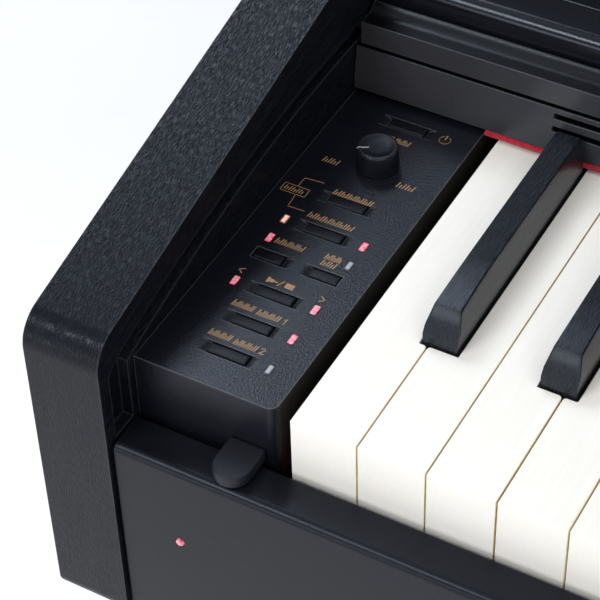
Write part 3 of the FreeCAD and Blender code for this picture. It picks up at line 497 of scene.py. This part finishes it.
def rounded_outline(centre, half_x, half_y, corner, radius, steps):
    """Points (x, y) round a rectangle whose corner arcs have their centres `corner` inside its sides."""
    outline = []
    for quarter, (side_x, side_y) in enumerate(((1, 1), (-1, 1), (-1, -1), (1, -1))):
        for step in range(steps + 1):
            angle = math.pi / 2 * (quarter + step / steps)
            outline.append((centre[0] + side_x * (half_x - corner) + radius * math.cos(angle),
                            centre[1] + side_y * (half_y - corner) + radius * math.sin(angle)))
    return outline


def lathe(work, profile, frame_matrix, hexagon_below=0.0, segments=72):
    """Closed surface of revolution about the matrix's z axis, from (radius, height) points in millimetres.
    Rings smaller than hexagon_below are six-sided."""
    rings = []
    for radius, height in profile:
        if radius == 0:
            rings.append([work.verts.new(frame_matrix @ Vector((0, 0, height * MM)))])
            continue
        ring = []
        for step in range(segments):
            angle = 2 * math.pi * step / segments
            reach = radius
            if radius < hexagon_below:
                reach = radius * math.cos(math.pi / 6) / math.cos(angle % (math.pi / 3) - math.pi / 6)
            place = Vector((reach * math.cos(angle), reach * math.sin(angle), height)) * MM
            ring.append(work.verts.new(frame_matrix @ place))
        rings.append(ring)
    surface_between(work, rings)


SLAB_CHAMFER = 0.12
RIBBON_SUNK = 0.03
RIBBON_RAISED = 0.07


def slab(work, centre, half_x, half_y, corner, bottom, top, material=0):
    """Upright block with rounded corners in plan, in keyboard millimetres, with a small chamfer on top."""
    rings = []
    chamfer = min(SLAB_CHAMFER, corner / 2)
    for inset, height in ((0, bottom), (0, top - chamfer), (chamfer, top)):
        outline = rounded_outline(centre, half_x, half_y, corner, corner - inset, 4)
        rings.append([work.verts.new(on_keyboard(x, y, height)) for x, y in outline])
    surface_between(work, rings, material)
    work.faces.new(rings[-1]).material_index = material
    work.faces.new(list(reversed(rings[0]))).material_index = material


def ribbon(work, points, width=0.32):
    """Thin raised line on the control panel through (x, y) points, in keyboard millimetres."""
    for (x_1, y_1), (x_2, y_2) in zip(points, points[1:]):
        along = Vector((x_2 - x_1, y_2 - y_1, 0)).normalized() * width / 2
        aside = Vector((-along.y, along.x, 0))
        start, end = Vector((x_1, y_1, 0)) - along, Vector((x_2, y_2, 0)) + along
        rings = []
        for level in (PANEL_Z - RIBBON_SUNK, PANEL_Z + RIBBON_RAISED):
            corners = (start - aside, end - aside, end + aside, start + aside)
            rings.append([work.verts.new(on_keyboard(corner.x, corner.y, level)) for corner in corners])
        surface_between(work, rings)
        work.faces.new(rings[1])
        work.faces.new(list(reversed(rings[0])))


WELD_REACH = 0.00001
FLAT_DEGREES = 0.6
BEVELLED_DEGREES = 32


def soften(made, width):
    """Rounds the edges of a CAD node's mesh, after joining its flat triangles into whole faces."""
    weld = made.modifiers.new("weld", "WELD")
    weld.merge_threshold = WELD_REACH
    flats = made.modifiers.new("flats", "DECIMATE")
    flats.decimate_type = "DISSOLVE"
    flats.angle_limit = math.radians(FLAT_DEGREES)
    bevel = made.modifiers.new("bevel", "BEVEL")
    bevel.width = width
    bevel.segments = 2
    bevel.limit_method = "ANGLE"
    bevel.angle_limit = math.radians(BEVELLED_DEGREES)
    bevel.harden_normals = False
    bevel.miter_outer = "MITER_ARC"
    normals = made.modifiers.new("normals", "WEIGHTED_NORMAL")
    normals.keep_sharp = False
    for face in made.data.polygons:
        face.use_smooth = True


# ---- Pieces of the control panel ----

# Lamps as (x, y, first of two material indices), in two columns. Half sizes are in x and y.
LIT, AMBER, UNLIT = 0, 2, 4
LEFT_X, RIGHT_X = -45.4, -15.35
LAMPS = (
    (LEFT_X, 78.5, AMBER), (RIGHT_X, 78.5, LIT), (LEFT_X, 68.2, LIT), (RIGHT_X, 68.2, UNLIT),
    (LEFT_X, 44.9, LIT), (RIGHT_X, 44.9, LIT), (RIGHT_X, 29.9, LIT), (RIGHT_X, 14.9, UNLIT),
)
RIM_HALF = (1.05, 2.15)
CORE_HALF = (0.68, 1.7)
LIP_OUTER_HALF = (1.4, 2.5)
LIP_INNER_HALF = (1.1, 2.2)

KNOB = (-30.4, 117.4)
POINTER_DEGREES = 215
POINTER_HALF_WIDTH = 0.17
POINTER_DEPTH = 0.5

# Signs on the panel, in keyboard millimetres. Word rows are (left, right, y, half the number of bars).
SIGN_HEIGHT = 2.4
FRAMED_SIGN_HEIGHT = 1.9
BAR_WIDTH = 0.36
FRAME_WIDTH = 0.22
FILL_WIDTH = 0.5
POWER_SIGN = (-15.6, 140.0)
POWER_SIGN_RADIUS = 2.0
POWER_SIGN_WIDTH = 0.38
WORD_ROWS = (
    (-37.2, -22.0, 98.4, 8), (-39.4, -22.0, 84.4, 9), (-42.9, -31.9, 68.1, 6), (-24.4, -18.2, 68.9, 4),
    (-24.2, -18.6, 65.7, 3), (-40.8, -32.6, 35.9, 5), (-31.4, -22.9, 35.6, 5), (-40.7, -32.5, 21.0, 5),
    (-31.3, -22.8, 20.7, 5), (-35.0, -25.1, 132.0, 6), (-48.6, -42.3, 112.0, 3), (-19.6, -12.8, 111.6, 3),
)


def lamps():
    """Core and rim of every lamp, each in its own material."""
    work = bmesh.new()
    for x, y, kind in LAMPS:
        slab(work, (x, y), *RIM_HALF, 0.55, PANEL_Z - 1.5, PANEL_Z + 0.1, kind + 1)
        slab(work, (x, y), *CORE_HALF, 0.4, PANEL_Z, PANEL_Z + 0.22, kind)
    return work


def lamp_frames():
    """Dark lip round every lamp."""
    work = bmesh.new()
    for x, y, _ in LAMPS:
        outer = rounded_outline((x, y), *LIP_OUTER_HALF, 0.8, 0.8, 3)
        inner = rounded_outline((x, y), *LIP_INNER_HALF, 0.55, 0.55, 3)
        rings = []
        for outline, lift in ((outer, -0.05), (outer, 0.06), (inner, 0.08), (inner, -0.05)):
            rings.append([work.verts.new(on_keyboard(*point, PANEL_Z + lift)) for point in outline])
        surface_between(work, rings + rings[:1])
    return work


def marks(work, left, right, y, count, height=SIGN_HEIGHT):
    """Row of plain slanted bars, every third one short, that stands where a word would be."""
    bars = count * 2
    for bar in range(bars):
        x = left + (right - left) * bar / bars
        reach = 0.6 if bar % 3 == 1 else 1.0
        ribbon(work, [(x, y - height / 2), (x + 0.2 * reach * height, y + (reach - 0.5) * height)], BAR_WIDTH)


def bracket_sign(work):
    """Framed word with a line to each of the two upper buttons."""
    marks(work, -53.4, -45.8, 93.0, 4, FRAMED_SIGN_HEIGHT)
    ribbon(work, [(-54.4, 91.0), (-44.9, 91.0), (-44.9, 95.0), (-54.4, 95.0), (-54.4, 91.0)], FRAME_WIDTH)
    ribbon(work, [(-49.6, 95.0), (-49.5, 99.9), (-42.4, 100.6)], FRAME_WIDTH)
    ribbon(work, [(-48.3, 91.0), (-47.7, 84.6), (-41.6, 84.9)], FRAME_WIDTH)


def play_sign(work):
    """Triangle, slash and square, with the two filled signs laid in stripes."""
    for level in (49.3, 49.8, 50.3, 50.8, 51.3):
        reach = 3.5 - abs(level - 50.3) * 3.2
        ribbon(work, [(-36.0, level), (-36.0 + reach, level)], FILL_WIDTH)
    ribbon(work, [(-31.9, 49.0), (-30.5, 51.8)])
    for level in (49.5, 49.95, 50.4, 50.85, 51.3):
        ribbon(work, [(-29.2, level), (-26.6, level)], FILL_WIDTH)


def power_sign(work):
    """Open ring with an upright bar."""
    x, y = POWER_SIGN
    ring = []
    for angle in (math.radians(degrees) for degrees in range(125, 416, 15)):
        ring.append((x + POWER_SIGN_RADIUS * math.cos(angle), y + POWER_SIGN_RADIUS * math.sin(angle)))
    ribbon(work, ring, POWER_SIGN_WIDTH)
    ribbon(work, [(x, y + 0.2), (x, y + 2.3)], POWER_SIGN_WIDTH)


def panel_marks():
    """Gold signs: rows of bars for words, the digits 1 and 2, two arrowheads and simple symbols."""
    work = bmesh.new()
    for row in WORD_ROWS:
        marks(work, *row)
    bracket_sign(work)
    play_sign(work)
    ribbon(work, [(-21.4, 34.3), (-21.0, 36.8), (-21.9, 36.1)])
    ribbon(work, [(-21.9, 21.6), (-20.9, 22.1), (-20.4, 21.4), (-22.0, 19.5), (-20.4, 19.5)])
    ribbon(work, [(-45.0, 51.3), (-46.8, 50.1), (-45.2, 48.9)])
    ribbon(work, [(-16.4, 51.3), (-14.6, 50.1), (-16.2, 48.9)])
    power_sign(work)
    return work


def knob():
    """Volume knob on its stem: rounded rim and shallow dish."""
    work = bmesh.new()
    centre = Matrix.Translation(on_keyboard(*KNOB))
    lathe(work, [
        (0, -8.5), (3.0, -8.5), (3.0, 2.0), (6.9, 2.0), (7.35, 2.15), (7.5, 2.6), (7.4, 6.0), (7.3, 9.4),
        (7.15, 10.0), (6.8, 10.35), (6.3, 10.45), (5.9, 10.35), (5.4, 10.1), (3.0, 9.9), (0, 9.85),
    ], centre)
    return work


def knob_pointer():
    """Pale line from the knob's rim into its dish."""
    work = bmesh.new()
    angle = math.radians(POINTER_DEGREES)
    out = Vector((math.cos(angle), math.sin(angle), 0))
    aside = Vector((-out.y, out.x, 0)) * POINTER_HALF_WIDTH
    rings = []
    for reach, height in ((7.2, 10.1), (6.9, 10.45), (6.3, 10.6), (5.4, 10.35), (3.0, 10.1)):
        foot = height - POINTER_DEPTH
        ring = []
        for side, level in ((-1, height), (1, height), (1, foot), (-1, foot)):
            point = out * reach + aside * side
            ring.append(work.verts.new(on_keyboard(KNOB[0] + point.x, KNOB[1] + point.y, level)))
        rings.append(ring)
    return capped_surface(work, rings)


# ---- Other pieces ----

FELT_STEP = 0.0012
FELT_FUZZ = 0.00012


def felt_strip():
    """Red felt behind the keys, with an uneven, rounded section."""
    work = bmesh.new()
    low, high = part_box("key_felt")
    section = ((0.0, 0.0), (0.0, 0.25), (0.0, 0.6), (0.08, 0.9), (0.3, 1.0), (1.0, 1.0), (1.0, 0.0))
    columns = int((high.x - low.x) / FELT_STEP)
    rings = []
    for column in range(columns + 1):
        x = low.x + (high.x - low.x) * column / columns
        ring = []
        for depth, level in section:
            place = Vector((x, low.y + depth * (high.y - low.y), low.z + level * (high.z - low.z)))
            fuzz = noise.noise(place * 900) * FELT_FUZZ + noise.noise(place * 160) * FELT_FUZZ
            ring.append(work.verts.new(place + Vector((0, -fuzz if depth < 0.5 else 0, fuzz * level))))
        rings.append(ring)
    return capped_surface(work, rings)


def lid_board():
    """The lid as one smooth curved board over its laths."""
    work = bmesh.new()
    low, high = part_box("lid_panel")
    centre_y, centre_z = LID_AXIS
    inner, outer = LID_RADII
    first, last = LID_DEGREES
    rings = []
    for step in range(LID_STEPS + 1):
        angle = math.radians(first + (last - first) * step / LID_STEPS)
        ring = []
        for x, radius in ((low.x, inner), (high.x, inner), (high.x, outer), (low.x, outer)):
            place = on_keyboard(0, centre_y + radius * math.sin(angle), centre_z + radius * math.cos(angle))
            ring.append(work.verts.new((x, place.y, place.z)))
        rings.append(ring)
    return capped_surface(work, rings)


def side_screws():
    """Ten screws through the side boards, with round heads and hexagonal sockets."""
    work = bmesh.new()
    low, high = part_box("stand_screws")
    shank = [(0, -48), (2.2, -46), (3.0, -44), (3.0, 0.0)]
    head = [(6.0, 0.0), (6.0, 1.0), (5.6, 1.7), (4.8, SCREW_HEAD), (2.9, SCREW_HEAD)]
    socket = [(2.7, 1.8), (2.6, 0.4), (0, 0.2)]
    for side, outer in ((-1, low.x), (1, high.x)):
        turn = Matrix.Rotation(math.radians(90) * side, 4, "Y")
        for y, z in SCREW_PLACES:
            seat = Matrix.Translation((outer - side * SCREW_HEAD * MM, y * MM, z * MM))
            lathe(work, shank + head + socket, seat @ turn, hexagon_below=2.95, segments=36)
    return work


# ---- Build ----

make_camera()
make_stage()

looks = {
    "woodgrain_black": straight_grain("wood_film_x", 0),
    "smooth_black": satin_look("smooth_black_film", SMOOTH_BLACK, 0.22, 2400, 0.00002, WEAR_AND_PAINTED_HIGHLIGHT_BLACK),
    "panel_plastic": satin_look("grained_plastic", GRAINED_BLACK, 0.22, 1700, 0.00014,
                                (0.12, 0.125, 0.14), wear_and_painted_highlight=0.7),
    "key_white": white_key_look(),
    "key_black": black_key_look(),
    "red_felt": felt_look(),
    "light_pipe": light_look("lamp_core", (0.5, 0.12, 0.21), 0.62),
    "soft_black": satin_look("rubbery_black", (0.006, 0.0065, 0.01), 0.5, 1500, 0.00004, (0.04, 0.04, 0.05)),
    "steel": metal_look("zinc_steel", (0.55, 0.56, 0.58), 0.32, (40, 900, 900), 0.00002),
    "pedal_metal": metal_look("brass", (0.8, 0.6, 0.26), 0.2, (900, 60, 900), 0.00001),
    "circuit_green": circuit_look(),
    "speaker_paper": paper_look(),
    "frame_metal": metal_look("grey_sheet", (0.32, 0.33, 0.35), 0.45, (60, 800, 800), 0.00003),
}
lamp_rim = light_look("lamp_rim", (0.62, 0.0, 0.035), 0.75)
amber_core = light_look("lamp_amber", (0.78, 0.42, 0.28), 0.7)
amber_rim = light_look("lamp_amber_rim", (0.32, 0.12, 0.04), 0.3)
unlit = satin_look("lamp_unlit", (0.26, 0.3, 0.34), 0.3, 1500, 0.00002, (0.5, 0.5, 0.5))
unlit_rim = satin_look("lamp_unlit_rim", (0.06, 0.075, 0.085), 0.3, 1500, 0.00002, (0.1, 0.1, 0.1))
gold_print = satin_look("gold_print", (0.3, 0.17, 0.075), 0.4, 1800, 0.00002, (0.5, 0.35, 0.2))
frame_black = satin_look("lamp_frame", (0.003, 0.003, 0.004), 0.35, 1800, 0.00002, (0.02, 0.02, 0.02))
console_painted_light_film = console_look()
button_film = satin_look("button_film", (0.002, 0.0023, 0.004), 0.3, 1700, 0.00012,
                         WEAR_AND_PAINTED_HIGHLIGHT_BLACK, gloss=FILM_GLOSS)
slip_film = satin_look("slip_film", SMOOTH_BLACK, 0.3, 2400, 0.00002, WEAR_AND_PAINTED_HIGHLIGHT_BLACK, gloss=FILM_GLOSS)
power_lamp = light_look("power_lamp", (0.45, 0.03, 0.08), 0.55)
upright_grain = straight_grain("wood_film_z", 2)
depth_grain = straight_grain("wood_film_y", 1)
arm_film = arm_grain()
NODE_LOOKS = {
    "left_arm_board": arm_film,
    "right_arm_board": arm_film,
    "left_side_board": upright_grain,
    "right_side_board": upright_grain,
    "base_feet": depth_grain,
    "console_panel": console_painted_light_film,
    "lid_nose": console_painted_light_film,
    "power_indicator": power_lamp,
    "key_slip": slip_film,
}

BEVELS = {
    "woodgrain_black": 0.0010,
    "smooth_black": 0.0007,
    "panel_plastic": 0.0007,
    "key_white": 0.0005,
    "key_black": 0.0002,
    "soft_black": 0.0008,
    "steel": 0.0003,
    "pedal_metal": 0.0016,
    "frame_metal": 0.0003,
}

for node, cad in NODES.items():
    usual = button_film if node.endswith("_button") else looks[SLOTS[node]]
    look = NODE_LOOKS.get(node, usual)
    cad.data.materials.clear()
    cad.data.materials.append(look)
    if SLOTS[node] in BEVELS:
        soften(cad, BEVELS[SLOTS[node]])

lamp_looks = [looks["light_pipe"], lamp_rim, amber_core, amber_rim, unlit, unlit_rim]
piece("lamps", lamps(), "cabinet", lamp_looks, "panel_indicators")
piece("lamp_frames", lamp_frames(), "cabinet", [frame_black])
piece("panel_marks", panel_marks(), "cabinet", [gold_print])
smooth(piece("knob_cap", knob(), "knob", [looks["panel_plastic"]], "volume_knob"))
piece("knob_pointer", knob_pointer(), "knob", [unlit])
smooth(piece("felt_strip", felt_strip(), "cabinet", [looks["red_felt"]], "key_felt"), 60)
smooth(piece("lid_board", lid_board(), "lid", [looks["smooth_black"]], "lid_panel"))
smooth(piece("side_screws", side_screws(), "cabinet", [looks["steel"]], "stand_screws"))
